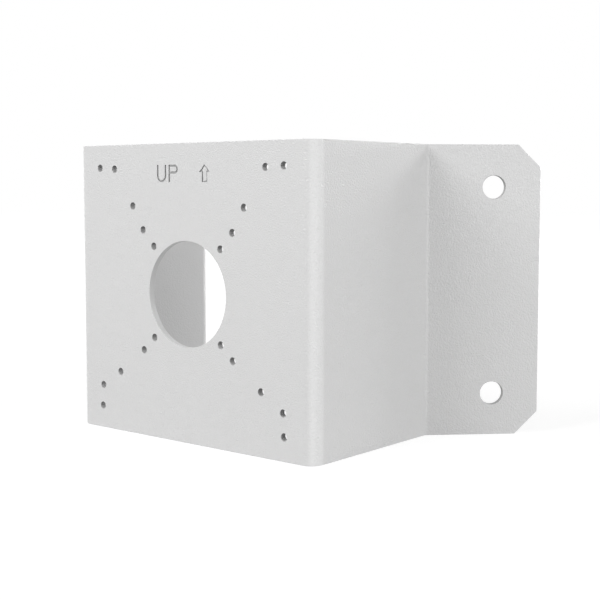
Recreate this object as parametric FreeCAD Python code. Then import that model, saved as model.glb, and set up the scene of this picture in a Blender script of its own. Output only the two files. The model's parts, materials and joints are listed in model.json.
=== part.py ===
import FreeCAD, Part
import os
from math import radians, tan

from FreeCAD import Vector

# Corner bracket for a security camera.
# One steel sheet with four upright folds: a camera face, a side panel on each side of it,
# and a flange behind each side panel that lies on one wall of a building's outside corner.
# Millimetres. +Z is up and the camera face looks along -Y.
# The origin is the middle of the cable hole, on the outer surface of the camera face.

# Sheet and folds
sheet_thickness = 3.0
face_fold_inside_radius = 3.2
flange_fold_inside_radius = 2.5
flange_fold_angle = 45.0
edge_radius = 0.3

# Outside sizes, measured between the virtual corners of the folds
height = 138.0
face_width = 149.2
side_depth = 85.0
flange_length = 54.2
flange_corner_cut = 10.8

# Cable hole
cable_hole_diameter = 49.0

# Anchor holes in the flanges
anchor_hole_diameter = 11.0
anchor_hole_spacing = 98.0
anchor_hole_from_end = 22.4

# Camera holes, drilled at the tapping size of an M4 screw
camera_hole_diameter = 3.3
large_pattern_across = 116.8
large_pattern_up = 116.2
medium_pattern_across = 57.1
medium_pattern_up = 56.9
medium_pattern_rise = 0.5
small_pattern_across = 42.6
small_pattern_up = 42.9
top_pair_across = 96.1
top_pair_rise = 57.6
upper_pair_across = 71.0
upper_pair_rise = 40.1
lower_pair_across = 90.5
lower_pair_drop = 40.0
bottom_pair_across = 115.7
bottom_pair_drop = 47.8

# Plan directions of the right flange: along it to its free end, and square out of its outer skin
fold = radians(flange_fold_angle)
turn = FreeCAD.Rotation(Vector(0, 0, 1), -flange_fold_angle)
along_flange = turn.multVec(Vector(0, 1, 0))
out_of_flange = turn.multVec(Vector(1, 0, 0))


def rounded_corner(before, corner, after, radius):
    """Arc of the given radius that rounds the corner of a line through three points."""
    back = (before - corner).normalize()
    ahead = (after - corner).normalize()
    half_angle = back.getAngle(ahead) / 2
    bisector = (back + ahead).normalize()
    run = radius / tan(half_angle)
    start = corner + back * run
    end = corner + ahead * run
    centre = corner + bisector * (run ** 2 + radius ** 2) ** 0.5
    return Part.Arc(start, centre - bisector * radius, end).toShape()


def mirrored(point):
    return Vector(-point.x, point.y, point.z)


def skin_line(depth):
    """Edges that one skin of the sheet follows in plan, from the left flange to the right one.

    The depth is measured into the metal: zero is the outer skin.
    """
    corner = Vector(face_width / 2 - depth, depth, 0)
    crease = Vector(corner.x, side_depth + depth * tan(fold / 2), 0)
    outer_crease = Vector(face_width / 2, side_depth, 0)
    end = outer_crease + along_flange * flange_length - out_of_flange * depth
    points = [mirrored(end), mirrored(crease), mirrored(corner), corner, crease, end]
    face_radius = face_fold_inside_radius + sheet_thickness - depth
    flange_radius = flange_fold_inside_radius + depth
    radii = [flange_radius, face_radius, face_radius, flange_radius]

    edges = []
    reached = points[0]
    for i, radius in enumerate(radii, start=1):
        arc = rounded_corner(points[i - 1], points[i], points[i + 1], radius)
        edges.append(Part.makeLine(reached, arc.firstVertex().Point))
        edges.append(arc)
        reached = arc.lastVertex().Point
    edges.append(Part.makeLine(reached, points[-1]))
    return edges


def at_free_end(point):
    """True for a point on the end of either flange."""
    outer_crease = Vector(face_width / 2, side_depth, 0)
    reach = Vector(abs(point.x), point.y, 0) - outer_crease
    return abs(reach.dot(along_flange) - flange_length) < 1e-6


def cut_flange_corners(sheet):
    """Take the corners off the free end of each flange at 45 degrees."""
    corners = []
    for edge in sheet.Edges:
        first, last = edge.firstVertex().Point, edge.lastVertex().Point
        level = abs(first.z - last.z) < 1e-6
        if level and at_free_end(first) and at_free_end(last):
            corners.append(edge)
    return sheet.makeChamfer(flange_corner_cut, corners)


def round_rims(sheet):
    """Round the edges where the skins of the sheet meet its cut sides."""
    rims = []
    for edge in sheet.Edges:
        first, last = edge.firstVertex().Point, edge.lastVertex().Point
        run = (last - first).normalize()
        if first.x < 0:
            run.x = -run.x
        fold_line = abs(run.z) > 0.999 and not at_free_end(first)
        across_sheet = abs(run.dot(out_of_flange)) > 0.999
        if not fold_line and not across_sheet:
            rims.append(edge)
    return sheet.makeFillet(edge_radius, rims)


def folded_sheet():
    """The sheet after folding, before its holes are drilled."""
    outer = skin_line(0)
    inner = skin_line(sheet_thickness)
    left_end = Part.makeLine(inner[0].firstVertex().Point, outer[0].firstVertex().Point)
    right_end = Part.makeLine(outer[-1].lastVertex().Point, inner[-1].lastVertex().Point)
    section = Part.Face(Part.Wire(outer + [right_end] + inner[::-1] + [left_end]))
    section.translate(Vector(0, 0, -height / 2))
    sheet = section.extrude(Vector(0, 0, height))
    return round_rims(cut_flange_corners(sheet))


def through_hole(centre, outward, diameter):
    """Round bit through the sheet at a point of its outer skin."""
    start = centre + outward * sheet_thickness
    return Part.makeCylinder(diameter / 2, 3 * sheet_thickness, start, -outward)


def face_holes():
    """Holes in the camera face: the cable hole and the camera patterns round it."""
    toward_camera = Vector(0, -1, 0)
    places = []
    for across, up, rise in (
        (large_pattern_across, large_pattern_up, 0),
        (medium_pattern_across, medium_pattern_up, medium_pattern_rise),
        (small_pattern_across, small_pattern_up, 0),
    ):
        places += [(across, rise + up / 2), (across, rise - up / 2)]
    places += [
        (top_pair_across, top_pair_rise),
        (upper_pair_across, upper_pair_rise),
        (lower_pair_across, -lower_pair_drop),
        (bottom_pair_across, -bottom_pair_drop),
    ]
    bits = [through_hole(Vector(0, 0, 0), toward_camera, cable_hole_diameter)]
    for across, rise in places:
        for side in (-1, 1):
            centre = Vector(side * across / 2, 0, rise)
            bits.append(through_hole(centre, toward_camera, camera_hole_diameter))
    return bits


def anchor_holes():
    """Two holes in each flange for the anchors that go into the walls."""
    outer_crease = Vector(face_width / 2, side_depth, 0)
    right = outer_crease + along_flange * (flange_length - anchor_hole_from_end)
    bits = []
    for centre, outward in ((right, out_of_flange), (mirrored(right), mirrored(out_of_flange))):
        for rise in (-anchor_hole_spacing / 2, anchor_hole_spacing / 2):
            bits.append(through_hole(centre + Vector(0, 0, rise), outward, anchor_hole_diameter))
    return bits


bracket = folded_sheet().cut(face_holes() + anchor_holes())

os.makedirs("parts", exist_ok=True)
bracket.exportStep("parts/bracket.step")
box = bracket.BoundBox
print("bracket: %d solid, valid %s" % (len(bracket.Solids), bracket.isValid()))
print("size %.1f x %.1f x %.1f mm" % (box.XLength, box.YLength, box.ZLength))
print("volume %.1f cm3" % (bracket.Volume / 1000))
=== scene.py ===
# %% [markdown]
# A corner bracket for a security camera.
#
# The real bracket is one steel sheet. It is cut flat, folded four times, drilled, marked and powder coated.
# This lesson follows the same order in Blender: draw the fold line, fold it, give it its thickness, drill it,
# mark it and coat it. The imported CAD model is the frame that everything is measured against.

# %% Load the frame
import json
from math import cos, pi, radians, sin, tan

import bmesh
import bpy
from mathutils import Matrix, Vector


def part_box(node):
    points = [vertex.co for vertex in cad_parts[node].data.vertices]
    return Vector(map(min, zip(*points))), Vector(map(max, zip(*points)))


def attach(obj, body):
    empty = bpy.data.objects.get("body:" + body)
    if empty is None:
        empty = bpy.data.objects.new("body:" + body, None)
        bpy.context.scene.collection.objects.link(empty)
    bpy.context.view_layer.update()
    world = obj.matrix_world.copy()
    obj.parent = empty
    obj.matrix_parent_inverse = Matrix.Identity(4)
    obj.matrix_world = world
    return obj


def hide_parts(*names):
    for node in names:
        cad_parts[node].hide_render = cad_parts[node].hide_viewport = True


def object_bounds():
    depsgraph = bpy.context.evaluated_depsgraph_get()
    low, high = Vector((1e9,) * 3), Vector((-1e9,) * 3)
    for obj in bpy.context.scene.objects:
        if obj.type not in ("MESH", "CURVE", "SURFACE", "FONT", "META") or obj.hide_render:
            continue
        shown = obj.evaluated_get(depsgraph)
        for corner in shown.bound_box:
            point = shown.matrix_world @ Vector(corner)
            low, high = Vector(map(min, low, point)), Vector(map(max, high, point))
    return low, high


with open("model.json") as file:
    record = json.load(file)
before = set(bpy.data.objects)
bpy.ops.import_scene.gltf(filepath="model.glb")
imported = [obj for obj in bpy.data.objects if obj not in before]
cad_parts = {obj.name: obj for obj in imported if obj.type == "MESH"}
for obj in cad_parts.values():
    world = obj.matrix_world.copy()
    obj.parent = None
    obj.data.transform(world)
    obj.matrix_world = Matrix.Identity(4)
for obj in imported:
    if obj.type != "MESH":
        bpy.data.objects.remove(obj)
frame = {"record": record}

cad_low, cad_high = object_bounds()
print("CAD box in metres:", [round(v, 4) for v in (*cad_low, *cad_high)])

# %% [markdown]
# Sizes come first, because every later step reads them. Blender works in metres, so a millimetre is one
# thousandth. The height is read from the frame. The fold sizes are the sheet's own, measured to the sharp
# corners where two flat faces would meet if the folds had no radius, which is how a sheet metal worker
# writes them.

# %% Sizes of the folded sheet
MM = 0.001
floor_level, top_level = (end.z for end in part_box("bracket"))
HEIGHT = top_level - floor_level
FACE_WIDTH = 149.2 * MM
SIDE_DEPTH = 85.0 * MM
FLANGE_LENGTH = 54.2 * MM
FLANGE_CORNER_CUT = 10.8 * MM
SHEET = 3.0 * MM
FACE_FOLD = {"turn": radians(90), "outer_radius": 3.2 * MM + SHEET}
FLANGE_FOLD = {"turn": radians(45), "outer_radius": 2.5 * MM}
ROUNDED_EDGE = 0.3 * MM

along_flange = Vector((sin(FLANGE_FOLD["turn"]), cos(FLANGE_FOLD["turn"]), 0))
crease = Vector((FACE_WIDTH / 2, SIDE_DEPTH, 0))
flange_end = crease + along_flange * FLANGE_LENGTH
print("flange ends at", [round(v / MM, 2) for v in flange_end], "mm")

# %% [markdown]
# Step 1: the skin. A folded sheet has the same section at every height, so its outer skin can be one line
# seen from above, pulled upwards. Six points and an extrude are enough. Building it from six flat boxes would
# also work, but then each joint would have to be cleaned up, and the folds could not be rounded in one go.

# %% Draw the fold line and pull it up
def mirrored(point):
    return Vector((-point.x, point.y, point.z))


def upright_skin(points, height, closed=False):
    """A skin that stands on a line of points and faces the side on the walker's right."""
    bm = bmesh.new()
    foot = Vector((0, 0, -height / 2))
    verts = [bm.verts.new(p + foot) for p in points]
    line = [bm.edges.new(pair) for pair in zip(verts, verts[1:])]
    if closed:
        line.append(bm.edges.new((verts[-1], verts[0])))
    pulled = bmesh.ops.extrude_edge_only(bm, edges=line)["geom"]
    top = [g for g in pulled if isinstance(g, bmesh.types.BMVert)]
    bmesh.ops.translate(bm, verts=top, vec=(0, 0, height))
    bmesh.ops.reverse_faces(bm, faces=bm.faces)
    bm.normal_update()
    return bm


corner = Vector((FACE_WIDTH / 2, 0, 0))
right_half = [corner, crease, flange_end]
left_half = [mirrored(p) for p in reversed(right_half)]
sheet = upright_skin(left_half + right_half, HEIGHT)
print("skin facing", [[round(c, 2) for c in f.normal] for f in sheet.faces])

# %% [markdown]
# Step 2: the folds. Bevel on an edge with many segments and a profile of 0.5 makes a round arc, which is what
# a press brake leaves. The bevel's offset is measured from the sharp corner to where the arc starts. For a
# fold that turns by an angle, that distance is the radius times the tangent of half the angle.

# %% Round the folds
FOLD_SEGMENTS = 16


def round_fold(bm, edges, fold):
    start = fold["outer_radius"] * tan(fold["turn"] / 2)
    bmesh.ops.bevel(bm, geom=edges, offset=start, offset_type="OFFSET", segments=FOLD_SEGMENTS,
                    profile=0.5, affect="EDGES", material=-1)


folds = [e for e in sheet.edges if len(e.link_faces) == 2]
face_folds = [e for e in folds if e.verts[0].co.y < SIDE_DEPTH / 2]
flange_folds = [e for e in folds if e not in face_folds]
round_fold(sheet, face_folds, FACE_FOLD)
flange_folds = [e for e in flange_folds if e.is_valid]
round_fold(sheet, flange_folds, FLANGE_FOLD)
print("skin with folds:", len(sheet.faces), "faces")

# %% [markdown]
# Step 3: the flange corners. On the real sheet they are cut off at 45 degrees before folding. Here a plane
# cuts each one while the sheet is still a thin skin, so the thickness that comes next gives the cut its edge.

# %% Cut the corners off the flanges
def cut_flange_corner(bm, side, up):
    along = along_flange if side > 0 else mirrored(along_flange)
    end = flange_end if side > 0 else mirrored(flange_end)
    away = (along + Vector((0, 0, up))).normalized()
    on_cut = end - along * FLANGE_CORNER_CUT + Vector((0, 0, up * HEIGHT / 2))
    everything = bm.verts[:] + bm.edges[:] + bm.faces[:]
    bmesh.ops.bisect_plane(bm, geom=everything, plane_co=on_cut, plane_no=away, clear_outer=True)


for side in (-1, 1):
    for up in (-1, 1):
        cut_flange_corner(sheet, side, up)
print("area of the skin: %.1f cm2" % (sum(f.calc_area() for f in sheet.faces) * 1e4))

# %% [markdown]
# Step 4: the thickness. Solidify copies the skin inwards along its normals and closes the rim. Every edge of
# that rim is then rounded a little, because a laser leaves a sharp edge and the powder coat softens it. A
# soft edge also catches a thin line of light, and a sharp one in Blender never does.

# %% Thicken the sheet and soften its rim
bmesh.ops.solidify(sheet, geom=sheet.faces[:], thickness=SHEET)
sheet.normal_update()
rim = [e for e in sheet.edges if e.calc_face_angle(0) > radians(30)]
bmesh.ops.bevel(sheet, geom=rim, offset=ROUNDED_EDGE, offset_type="OFFSET", segments=3,
                profile=0.5, affect="EDGES", material=-1)
bmesh.ops.recalc_face_normals(sheet, faces=sheet.faces)
print("steel: %.1f cm3, open edges: %d" % (sheet.calc_volume() * 1e6,
                                           sum(len(e.link_faces) != 2 for e in sheet.edges)))

# %% [markdown]
# Step 5: the finishes. Powder is baked into a skin that is never quite flat: fine sandy grains on top of
# long, shallow waves. Both are bump, because they are far smaller than anything in the mesh. The pattern
# reads Object coordinates, which are metres here, so a noise scale of 1500 makes grains of about 0.7 mm.
# Less powder reaches the inside of the bracket, so its grain is shallower and it has a material of its own.

# %% Mix the powder coat
COAT_COLOUR = (0.70, 0.70, 0.70, 1)
COAT_ROUGHNESS = 0.32
GRAIN_SCALE = 1500
GRAIN_HEIGHT = 0.23 * MM
INSIDE_GRAIN_HEIGHT = 0.12 * MM
WAVE_SCALE = 160
WAVE_HEIGHT = 0.02 * MM


def link(tree, source, output, target, target_input):
    tree.links.new(source.outputs[output], target.inputs[target_input])


def noise(tree, place, scale, detail):
    node = tree.nodes.new("ShaderNodeTexNoise")
    node.inputs["Scale"].default_value = scale
    node.inputs["Detail"].default_value = detail
    link(tree, place, "Object", node, "Vector")
    return node


def bump(tree, height, distance, before=None):
    node = tree.nodes.new("ShaderNodeBump")
    node.inputs["Strength"].default_value = 1.0
    node.inputs["Distance"].default_value = distance
    link(tree, height, "Fac", node, "Height")
    if before:
        link(tree, before, "Normal", node, "Normal")
    return node


def new_material(name, colour, roughness):
    material = bpy.data.materials.new(name)
    material.use_nodes = True
    paint = material.node_tree.nodes["Principled BSDF"]
    paint.inputs["Base Color"].default_value = colour
    paint.inputs["Roughness"].default_value = roughness
    return material, material.node_tree, paint


def powder_coat(name, grain_height):
    """The coat's material, its node tree, its shader and the node that gives the place on the bracket."""
    material, tree, paint = new_material(name, COAT_COLOUR, COAT_ROUGHNESS)
    place = tree.nodes.new("ShaderNodeTexCoord")
    rolling = bump(tree, noise(tree, place, WAVE_SCALE, 1), WAVE_HEIGHT)
    grainy = bump(tree, noise(tree, place, GRAIN_SCALE, 0), grain_height, rolling)
    link(tree, grainy, "Normal", paint, "Normal")
    return material, tree, paint, place


coat, tree, paint, place = powder_coat("white_powder_coat", GRAIN_HEIGHT)
inside_coat = powder_coat("thin_coat_inside", INSIDE_GRAIN_HEIGHT)[0]
print("coat colour and roughness:", COAT_COLOUR[:3], COAT_ROUGHNESS)

# %% [markdown]
# The coat is painted lighter along both big folds, as a painted highlight. It is brightest past the middle of
# the bend, on the side panel's half, and stands in for the shine of a lamp, which the lamps of Step 10 alone
# leave too weak on the fold. The nodes measure how far a point is from a line in front of that place. Both
# folds share them, because the distance is taken from the size of x, without its sign.

# %% Paint a highlight along the big folds
FOLD_HIGHLIGHT_COLOUR = (0.82, 0.82, 0.82, 1)
HIGHLIGHT_TURN = radians(62)
FOLD_RADIUS = FACE_FOLD["outer_radius"]
HIGHLIGHT_LINE = 2 ** 0.5 * FOLD_RADIUS
HIGHLIGHT_CORE = 0.5 * FOLD_RADIUS
HIGHLIGHT_REACH = FOLD_RADIUS


def maths(tree, operation, first, second=None):
    """A Math node. Each input is a number or the output of another node."""
    node = tree.nodes.new("ShaderNodeMath")
    node.operation = operation
    for value, socket in zip((first, second), node.inputs):
        if isinstance(value, (int, float)):
            socket.default_value = value
        elif value:
            tree.links.new(value, socket)
    return node.outputs["Value"]


def blend_colours(tree, amount, first, second, paint):
    """Paint that goes from the first colour to the second as the amount goes from 0 to 1."""
    shade = tree.nodes.new("ShaderNodeMix")
    shade.data_type = "RGBA"
    for socket, colour in zip([s for s in shade.inputs if s.type == "RGBA"], (first, second)):
        socket.default_value = colour
    link(tree, amount, "Result", shade, "Factor")
    tree.links.new([s for s in shade.outputs if s.type == "RGBA"][0], paint.inputs["Base Color"])


line_x = FACE_WIDTH / 2 - FOLD_RADIUS + HIGHLIGHT_LINE * sin(HIGHLIGHT_TURN)
line_y = FOLD_RADIUS - HIGHLIGHT_LINE * cos(HIGHLIGHT_TURN)
apart = tree.nodes.new("ShaderNodeSeparateXYZ")
link(tree, place, "Object", apart, "Vector")
across = maths(tree, "SUBTRACT", maths(tree, "ABSOLUTE", apart.outputs["X"]), line_x)
along = maths(tree, "SUBTRACT", apart.outputs["Y"], line_y)
squares = [maths(tree, "POWER", side, 2) for side in (across, along)]
from_line = maths(tree, "SQRT", maths(tree, "ADD", *squares))
highlight_mask = tree.nodes.new("ShaderNodeMapRange")
highlight_mask.interpolation_type = "SMOOTHSTEP"
highlight_mask.inputs["From Min"].default_value = HIGHLIGHT_REACH
highlight_mask.inputs["From Max"].default_value = HIGHLIGHT_CORE
tree.links.new(from_line, highlight_mask.inputs["Value"])
blend_colours(tree, highlight_mask, COAT_COLOUR, FOLD_HIGHLIGHT_COLOUR, paint)
print("whitest line at x %.1f, y %.1f mm" % (line_x / MM, line_y / MM))

# %% [markdown]
# The walls of the small holes and the grooves of the letters are painted greyer than the faces, as painted
# shade in these deep, narrow hollows. Each hole's wall is also painted darker where it looks down and lighter
# where it looks up, as painted light from above; the lower wall of the cable hole is lighter than the faces.
# The light table of Step 9 lights both walls, so the colour puts that difference in. The mesh tells the shader
# which way a wall looks, by a number on each face that is -1 where it looks down and 1 where it looks up. The
# shader doesn't work it out, so that the look stays with the mesh when the bracket is exported.

# %% Mix the painted shade of the holes and grooves
def wall_shade_paint(name, upper_wall, lower_wall):
    """Painted shade and light: one colour on a wall that looks down and another on a wall that looks up."""
    material, tree, paint = new_material(name, lower_wall, HOLLOW_ROUGHNESS)
    stored = tree.nodes.new("ShaderNodeAttribute")
    stored.attribute_name = "facing_up"
    facing_up = tree.nodes.new("ShaderNodeMapRange")
    facing_up.inputs["From Min"].default_value = -1.0
    link(tree, stored, "Fac", facing_up, "Value")
    blend_colours(tree, facing_up, upper_wall, lower_wall, paint)
    return material


HOLLOW_ROUGHNESS = 0.5
# The grey of the grooves is painted shade, as in deep, narrow hollows.
GROOVE_SHADE_GREY = (0.42, 0.42, 0.42, 1)
narrow_wall_shade = wall_shade_paint("painted_shade_in_narrow_holes", (0.13, 0.13, 0.13, 1), (0.56, 0.56, 0.56, 1))
wide_wall_shade = wall_shade_paint("painted_shade_in_cable_hole", (0.48, 0.48, 0.48, 1), (0.80, 0.80, 0.80, 1))
groove = new_material("painted_shade_in_grooves", GROOVE_SHADE_GREY, HOLLOW_ROUGHNESS)[0]

# %% [markdown]
# Step 6: the drill bits. A boolean cuts whatever shape it is given, so each bit is made with the rounded
# entry that the finished hole has. Its outline is half a section, and a full spin turns that into a solid.
# The record that came with the frame says where each hole is and how wide, so no hole is placed by eye.

# %% Make a bit for one hole
RIM_STEPS = 4
RIM_RADIUS = 0.2 * MM
HAIR = 0.01 * MM


def add_bit(bits, radius, centre, outward, segments):
    """A round bit through the sheet, with a flare at both skins that leaves the hole a rounded rim.

    The flare starts a hair outside the skin, so that none of its points lies exactly on it.
    """
    flare = []
    for i in range(RIM_STEPS + 1):
        angle = radians(90) * i / RIM_STEPS
        depth = RIM_RADIUS * (1 - cos(angle)) - HAIR
        flare.append((radius + RIM_RADIUS * (1 - sin(angle)), depth))
    entry = [(0, -SHEET), (radius + RIM_RADIUS, -SHEET)] + flare
    leave = [(r, SHEET - depth) for r, depth in reversed(entry)]
    bit = bmesh.new()
    verts = [bit.verts.new((r, 0, -depth)) for r, depth in entry + leave]
    outline = [bit.edges.new(pair) for pair in zip(verts, verts[1:])]
    bmesh.ops.spin(bit, geom=verts + outline, cent=(0, 0, 0), axis=(0, 0, 1), angle=2 * pi,
                   steps=segments, use_merge=True)
    bmesh.ops.remove_doubles(bit, verts=bit.verts, dist=0.001 * MM)
    turn = outward.to_track_quat("Z", "Y").to_matrix().to_4x4()
    bmesh.ops.transform(bit, matrix=Matrix.Translation(centre) @ turn, verts=bit.verts)
    loose = bpy.data.meshes.new("bit")
    bit.to_mesh(loose)
    bit.free()
    bits.from_mesh(loose)
    bpy.data.meshes.remove(loose)


# %% [markdown]
# The record lists each mount with a kind. A bore is one hole. A bolt pattern is a ring, a rectangle or a pair
# of holes round its centre. This helper turns any of them into a plain list of places.

# %% Read the holes from the record
def hole_places(mount):
    """Centre, outward axis and radius of each hole of a mount, in metres."""
    centre, axis, dims = Vector(mount["pos_m"]), Vector(mount["axis"]), mount["dims"]
    if mount["kind"] == "bore":
        return [(centre, axis, dims["r_mm"] * MM)]
    if "pcd_mm" in dims:
        reach = dims["pcd_mm"] * MM / 2
        offsets = [Vector((0, 0, up * reach)) for up in (-1, 1)]
    else:
        across = dims["spacing_x_mm"] * MM / 2
        rise = dims.get("spacing_y_mm", 0) * MM / 2
        heights = (-rise, rise) if rise else (0,)
        offsets = [Vector((side * across, 0, z)) for side in (-1, 1) for z in heights]
    return [(centre + offset, axis, dims["hole_r_mm"] * MM) for offset in offsets]


drilled = [m for m in frame["record"]["mounts"] if m["kind"] in ("bore", "bolt_pattern")]
holes = [hole for mount in drilled for hole in hole_places(mount)]
print(len(holes), "holes in", len(drilled), "mounts")

# %% [markdown]
# Step 7: drilling. Bmesh has no boolean, so the bits go to an object of their own and a Boolean modifier
# takes them out of the sheet. The exact solver is used, because the fast one can lose small rims. A boolean
# gives each face that it cuts the material of the bit, so each bit carries the finish that its hole gets. The
# result is read back as a plain mesh, and the bits are deleted.

# %% Drill the sheet
def object_of(name, bm):
    mesh = bpy.data.meshes.new(name)
    bm.to_mesh(mesh)
    bm.free()
    made = bpy.data.objects.new(name, mesh)
    bpy.context.scene.collection.objects.link(made)
    return made


def cut_away(target, cutter, finish):
    """Take the cutter's volume out of the target for good, and leave the cut in the given finish."""
    cutter.data.materials.append(finish)
    modifier = target.modifiers.new("cut", "BOOLEAN")
    modifier.operation = "DIFFERENCE"
    modifier.solver = "EXACT"
    modifier.material_mode = "TRANSFER"
    modifier.object = cutter
    whole = target.evaluated_get(bpy.context.evaluated_depsgraph_get())
    result = bpy.data.meshes.new_from_object(whole)
    target.modifiers.clear()
    target.data = result
    bpy.data.objects.remove(cutter)


def drill(target, chosen, segments, finish):
    bits = bmesh.new()
    for centre, outward, radius in chosen:
        add_bit(bits, radius, centre, outward, segments)
    bmesh.ops.recalc_face_normals(bits, faces=bits.faces)
    cut_away(target, object_of("bits", bits), finish)
    print(len(chosen), "holes drilled:", len(target.data.polygons), "faces")


bracket = object_of("coated_bracket", sheet)
bracket.data.materials.append(coat)
wide_enough = 2 * SHEET
drill(bracket, [h for h in holes if h[2] > wide_enough], 128, wide_wall_shade)
drill(bracket, [h for h in holes if wide_enough >= h[2] > SHEET], 64, narrow_wall_shade)
drill(bracket, [h for h in holes if h[2] <= SHEET], 48, narrow_wall_shade)

# %% [markdown]
# Step 8: the mark. The installer has to know which way up the bracket goes, so the face says UP beside an
# arrow, both cut into the metal. A stroke of a letter is made as the sheet was: the outer line of the letter
# is pulled up and thickened to its left, which is inwards when the line runs anticlockwise. A font would be
# quicker, but it gives solid outlines, and these letters are single strokes. The arrow is a shallow coated
# recess with a deeper grey groove along its edge, because the photograph shows it as a dark outline.

# %% Draw the letters and the arrow
CAP_HEIGHT = 8.0 * MM
STROKE = 1.0 * MM
OUTLINE = 0.55 * MM
MARK_DEPTH = 0.5 * MM
ARROW_DEPTH = 0.25 * MM
MARK_FOOT = 51.25 * MM
ARC_STEPS = 12


def arc(centre, radius, start, end):
    """Points from one angle to another round a centre, anticlockwise for a growing angle."""
    angles = [radians(start + (end - start) * i / ARC_STEPS) for i in range(ARC_STEPS + 1)]
    return [Vector((centre[0] + radius * cos(a), centre[1] + radius * sin(a), 0)) for a in angles]


def letter_u(width):
    r = width / 2
    return [Vector((0, CAP_HEIGHT, 0))] + arc((r, r), r, 180, 360) + [Vector((width, CAP_HEIGHT, 0))]


def letter_p(width, bowl_height):
    """Two strokes, the bowl and the stem, because a stroke that crosses itself is no solid."""
    r = bowl_height / 2
    inside_stem = STROKE / 2
    foot = Vector((inside_stem, CAP_HEIGHT - bowl_height, 0))
    head = Vector((inside_stem, CAP_HEIGHT, 0))
    bowl = [foot] + arc((width - r, CAP_HEIGHT - r), r, -90, 90) + [head]
    return [bowl, [Vector((0, CAP_HEIGHT, 0)), Vector((0, 0, 0))]]


def arrow(half_width, head_height, half_shaft):
    neck = CAP_HEIGHT - head_height
    right = [Vector((half_shaft, 0, 0)), Vector((half_shaft, neck, 0)), Vector((half_width, neck, 0))]
    return right + [Vector((0, CAP_HEIGHT, 0))] + [mirrored(p) for p in reversed(right)]


def stroke_cutter(points, width, closed=False):
    bm = upright_skin(points, 2 * MARK_DEPTH, closed)
    bmesh.ops.solidify(bm, geom=bm.faces[:], thickness=width)
    return bm


def filled_cutter(points, depth):
    bm = bmesh.new()
    verts = [bm.verts.new(p + Vector((0, 0, -depth))) for p in points]
    pulled = bmesh.ops.extrude_face_region(bm, geom=[bm.faces.new(verts)])["geom"]
    top = [g for g in pulled if isinstance(g, bmesh.types.BMVert)]
    bmesh.ops.translate(bm, verts=top, vec=(0, 0, 2 * depth))
    return bm


# %% [markdown]
# Each cutter lies flat on the table at first, with its foot at zero. A quarter turn about X stands it up
# against the camera face, half in the metal and half in front of it.

# %% Cut the mark into the camera face
def engrave(target, bm, left, finish):
    place = Matrix.Translation((left, 0, MARK_FOOT)) @ Matrix.Rotation(radians(90), 4, "X")
    bmesh.ops.transform(bm, matrix=place, verts=bm.verts)
    bmesh.ops.recalc_face_normals(bm, faces=bm.faces)
    cut_away(target, object_of("mark", bm), finish)


engrave(bracket, stroke_cutter(letter_u(6.1 * MM), STROKE), -18.65 * MM, groove)
for stroke in letter_p(6.1 * MM, 4.1 * MM):
    engrave(bracket, stroke_cutter(stroke, STROKE), -11.05 * MM, groove)
arrow_line = arrow(3.3 * MM, 3.4 * MM, 1.65 * MM)
engrave(bracket, filled_cutter(arrow_line, ARROW_DEPTH), 11.85 * MM, coat)
engrave(bracket, stroke_cutter(arrow_line, OUTLINE, closed=True), 11.85 * MM, groove)
print("marked sheet:", len(bracket.data.polygons), "faces")

# %% [markdown]
# The inside is one skin of the same mesh, so it needs a material of its own only on its faces. A face belongs
# to the inside when it looks towards the middle of the bracket and towards the wall behind it. That test
# leaves out the rims and the walls of the holes, which look up, down or outwards.

# %% Give the inside its thin coat
def looks_inwards(face):
    """True on the skin that turns towards the wall or the middle, and false on rims and hole walls."""
    side = 1 if face.center.x > 0 else -1
    inwards = Vector((-side, 1, 0)).normalized()
    return face.normal.dot(inwards) > 0.6


finishes = bracket.data.materials
finishes.append(inside_coat)
inside = [f for f in bracket.data.polygons
          if finishes[f.material_index] == coat and looks_inwards(f)]
for face in inside:
    face.material_index = len(finishes) - 1
print(len(inside), "faces inside the bracket")

# %% Write on each face how far it looks up
facing_up = bracket.data.attributes.new("facing_up", "FLOAT", "FACE")
facing_up.data.foreach_set("value", [face.normal.z for face in bracket.data.polygons])
print("faces that look down:", sum(face.normal.z < 0 for face in bracket.data.polygons))

# %% [markdown]
# The faces are shaded smooth wherever they meet at less than 30 degrees, which takes in the folds and the
# rounded rims. A Weighted Normal modifier then lets the big flat faces keep their own direction, so that no
# dark smear runs from a rim into the flat metal beside it.

# %% Smooth the folds and keep the flats flat
bracket.data.shade_smooth()
bracket.data.set_sharp_from_angle(angle=radians(30))
flat = bracket.modifiers.new("flat faces stay flat", "WEIGHTED_NORMAL")
flat.keep_sharp = True
flat.weight = 100

# %% Hand the piece over
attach(bracket, "root")
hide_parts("bracket")
print("finishes:", [m.name for m in bracket.data.materials])

# %% [markdown]
# Step 9: the stage. The photograph has a white background with nothing in it. A floor that is lit up to white
# would flood the bracket with light from below, so a Light Path node splits the job. Rays that carry light to
# the bracket meet a light table at half strength, which is how a product photographer brightens the inside
# and the underside of such a part. Rays that the camera sees, or that a mirror or glass would show, meet the
# same table with a stronger glow, which lifts it to white and leaves a faint shadow under the bracket. The
# glow grows to full white away from the bracket, so that no horizon shows.

# %% Lay the floor
FLOOR_COLOUR = (0.3, 0.3, 0.3, 1)
TABLE_LIGHT = 0.48
FLOOR_GLOW_NEAR = 0.82
FLOOR_GLOW_FAR = 1.0


def seen_directly(tree):
    """One for rays from the camera, a mirror or glass, and zero for rays that carry light."""
    path = tree.nodes.new("ShaderNodeLightPath")
    seen = path.outputs["Is Camera Ray"]
    for kind in ("Is Glossy Ray", "Is Transmission Ray"):
        either = tree.nodes.new("ShaderNodeMath")
        either.operation = "MAXIMUM"
        tree.links.new(seen, either.inputs[0])
        tree.links.new(path.outputs[kind], either.inputs[1])
        seen = either.outputs["Value"]
    return seen


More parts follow.
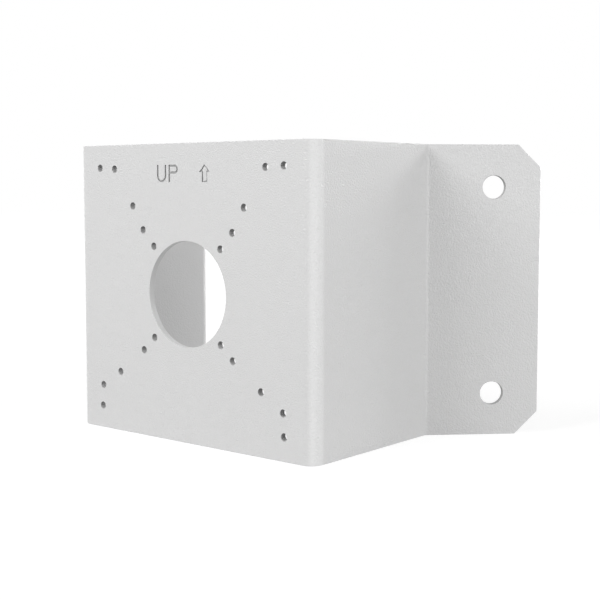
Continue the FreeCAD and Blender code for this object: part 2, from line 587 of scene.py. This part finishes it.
def level_when(tree, seen, unseen_level, seen_level):
    """A strength that changes with the kind of ray."""
    level = tree.nodes.new("ShaderNodeMapRange")
    level.inputs["To Min"].default_value = unseen_level
    level.inputs["To Max"].default_value = seen_level
    tree.links.new(seen, level.inputs["Value"])
    return level


def pale_floor():
    material, tree, paint = new_material("pale_floor", FLOOR_COLOUR, 1.0)
    paint.inputs["Specular IOR Level"].default_value = 0.0
    paint.inputs["Emission Color"].default_value = (1, 1, 1, 1)
    glow = level_when(tree, seen_directly(tree), TABLE_LIGHT, 1.0)
    link(tree, glow, "Result", paint, "Emission Strength")
    place = tree.nodes.new("ShaderNodeTexCoord")
    reach = tree.nodes.new("ShaderNodeVectorMath")
    reach.operation = "LENGTH"
    link(tree, place, "Object", reach, "Vector")
    spread = tree.nodes.new("ShaderNodeMapRange")
    spread.inputs["From Min"].default_value = 0.2
    spread.inputs["From Max"].default_value = 1.0
    spread.inputs["To Min"].default_value = FLOOR_GLOW_NEAR
    spread.inputs["To Max"].default_value = FLOOR_GLOW_FAR
    link(tree, reach, "Value", spread, "Value")
    link(tree, spread, "Result", glow, "To Max")
    return material


floor_mesh = bmesh.new()
bmesh.ops.create_grid(floor_mesh, x_segments=1, y_segments=1, size=4.0,
                      matrix=Matrix.Translation((0, 0, floor_level)))
floor = object_of("floor", floor_mesh)
floor.data.materials.append(pale_floor())

# %% [markdown]
# The world is the white wall behind the floor. It is white where it is seen, and dark for light rays, because
# a white room would light the bracket evenly from all sides and flatten its folds.

# %% Hang the white wall
WALL_LIGHT = 0.0
world = bpy.data.worlds.new("studio")
bpy.context.scene.world = world
world.use_nodes = True
sky = world.node_tree
sky.nodes["Background"].inputs["Color"].default_value = (1, 1, 1, 1)
link(sky, level_when(sky, seen_directly(sky), WALL_LIGHT, 1.0), "Result", sky.nodes["Background"], "Strength")

# %% [markdown]
# Step 10: the light. Large soft boxes give soft edges to every shadow. Each box is placed by a compass turn
# from the front, a rise above the bracket and a distance, and it always points at the bracket's middle.
# Light thins out with the square of the distance, so the power is worked out from a level: at level 1, white
# paper that faces the box would come out exactly white. The levels can then be read and changed like paint.
# The key lights the camera face, the boxes on the right light the side panel and its flange, and the left one
# keeps the far side from falling dark in other views. The small strip is close and bright, so the grains glint
# and the near fold shines. The boxes behind reach the inside that shows through the cable hole. The upper one
# also shines past the flange, whose soft shadow darkens the back of the side panel, as in the photograph.

# %% Set up the soft boxes
middle = (cad_low + cad_high) / 2


def soft_box(name, turn, rise, away, width, height, level):
    turn, rise = radians(turn), radians(rise)
    towards_lamp = Vector((sin(turn) * cos(rise), -cos(turn) * cos(rise), sin(rise)))
    light = bpy.data.lights.new(name, "AREA")
    light.shape = "RECTANGLE"
    light.size = width
    light.size_y = height
    light.energy = level * (pi * away) ** 2
    lamp = bpy.data.objects.new(name, light)
    lamp.location = middle + towards_lamp * away
    lamp.rotation_euler = (-towards_lamp).to_track_quat("-Z", "Y").to_euler()
    bpy.context.scene.collection.objects.link(lamp)
    print("%s: %.1f W" % (name, light.energy))


soft_box("key", turn=-15, rise=30, away=2.0, width=0.8, height=0.8, level=0.60)
soft_box("left", turn=-75, rise=40, away=2.0, width=0.8, height=0.8, level=0.15)
soft_box("right", turn=40, rise=48, away=2.0, width=0.8, height=0.8, level=0.15)
soft_box("side", turn=100, rise=12, away=2.0, width=0.8, height=0.8, level=0.175)
soft_box("behind_high", turn=118, rise=48, away=2.0, width=0.8, height=0.8, level=0.075)
soft_box("behind", turn=155, rise=22, away=2.0, width=0.5, height=0.5, level=0.265)
soft_box("behind_low", turn=170, rise=2, away=2.0, width=0.5, height=0.3, level=0.14)
soft_box("strip", turn=81, rise=2, away=1.2, width=0.25, height=0.25, level=0.15)

# %% [markdown]
# Step 11: the camera. A lens of 70 mm from just over half a metre, a little above the bracket and about 40
# degrees to its right, gives the photograph's view. The lens shift centres the bracket as it is there.

# %% Set up the camera
CAMERA_PLACE = (0.37885, -0.37745, 0.04906)
CAMERA_TURN = radians(39.78)
CAMERA_TILT = radians(4.616)
lens = bpy.data.cameras.new("lens")
lens.lens = 70.17
lens.sensor_width = 36.0
lens.shift_x = 0.00816
lens.shift_y = -0.03094
camera = bpy.data.objects.new("camera", lens)
camera.location = CAMERA_PLACE
camera.rotation_euler = (radians(90) - CAMERA_TILT, 0, CAMERA_TURN)
bpy.context.scene.collection.objects.link(camera)
bpy.context.scene.camera = camera
bpy.context.scene.view_settings.view_transform = "Standard"
